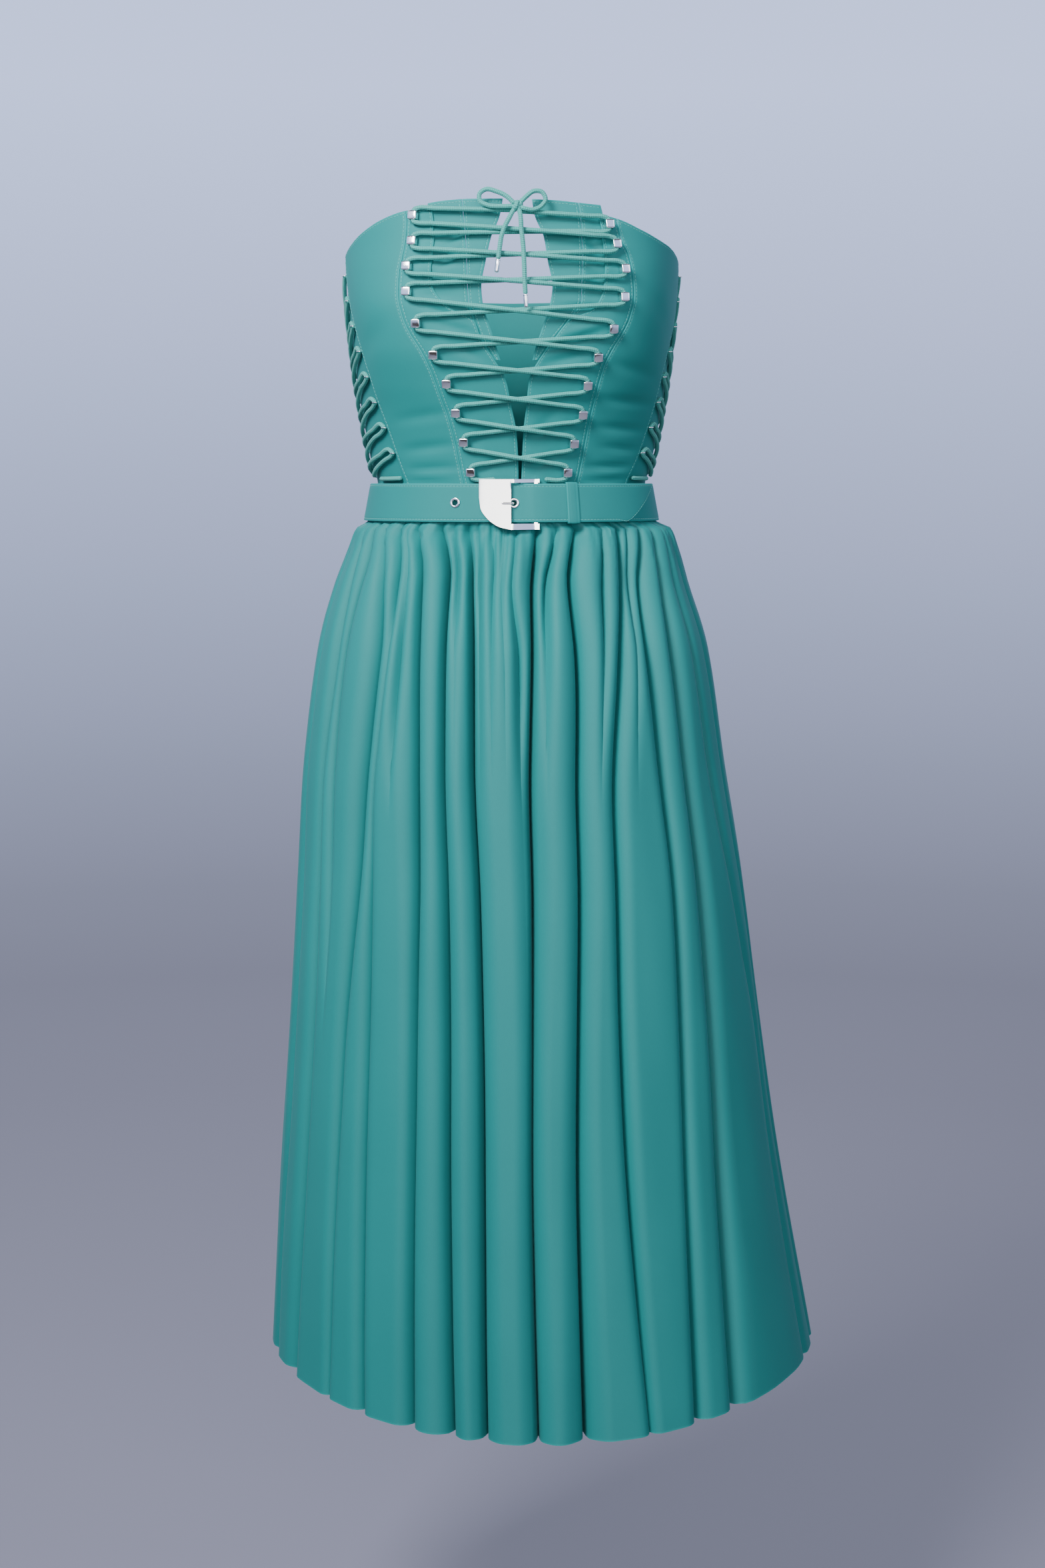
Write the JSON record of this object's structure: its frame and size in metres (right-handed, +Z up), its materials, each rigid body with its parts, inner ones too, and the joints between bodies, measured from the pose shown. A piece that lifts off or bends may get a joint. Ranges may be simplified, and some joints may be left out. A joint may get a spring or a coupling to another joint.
{
  "type": "lace-up dress",
  "caption": "Strapless midi dress with a laced keyhole bodice, metal lacing studs, laced sides, gathered skirt and a buckled belt, in its worn shape.",
  "frame": {"origin": "middle of the waist inside the belt, at the belt's mid height", "axes": "+Z up, the front faces -Y, +X is the viewer's right"},
  "size_m": [0.4646, 0.4329, 0.9879],
  "materials": {
    "cloth": "soft sateen",
    "cord": "braided",
    "metal": "polished"
  },
  "bodies": {
    "root": {"front_band_left": "cloth", "front_band_right": "cloth", "front_cup_left": "cloth", "front_cup_right": "cloth", "stud_panel_left": "cloth", "stud_panel_right": "cloth", "side_front_left": "cloth", "side_front_right": "cloth", "side_gusset_left": "cloth", "side_gusset_right": "cloth", "back_panel": "cloth", "skirt_front_left": "cloth", "skirt_front_right": "cloth", "skirt_back": "cloth", "skirt_placket": "cloth", "belt_strap": "cloth", "belt_keeper": "cloth", "lace_front_a": "cord", "lace_front_b": "cord", "lace_side_left": "cord", "lace_side_right": "cord", "lace_side_end_left": "cord", "lace_side_end_right": "cord", "bow_knot": "cord", "bow_loop_left": "cord", "bow_loop_right": "cord", "bow_tail_left": "cord", "bow_tail_right": "cord", "stud_left_01": "metal", "stud_left_02": "metal", "stud_left_03": "metal", "stud_left_04": "metal", "stud_left_05": "metal", "stud_left_06": "metal", "stud_left_07": "metal", "stud_left_08": "metal", "stud_left_09": "metal", "stud_left_10": "metal", "stud_right_01": "metal", "stud_right_02": "metal", "stud_right_03": "metal", "stud_right_04": "metal", "stud_right_05": "metal", "stud_right_06": "metal", "stud_right_07": "metal", "stud_right_08": "metal", "stud_right_09": "metal", "stud_right_10": "metal", "belt_eyelet_1": "metal", "belt_eyelet_2": "metal", "belt_eyelet_3": "metal", "buckle_frame": "metal", "buckle_prong": "metal", "aglet_left": "metal", "aglet_right": "metal"}
  },
  "joints": []
}
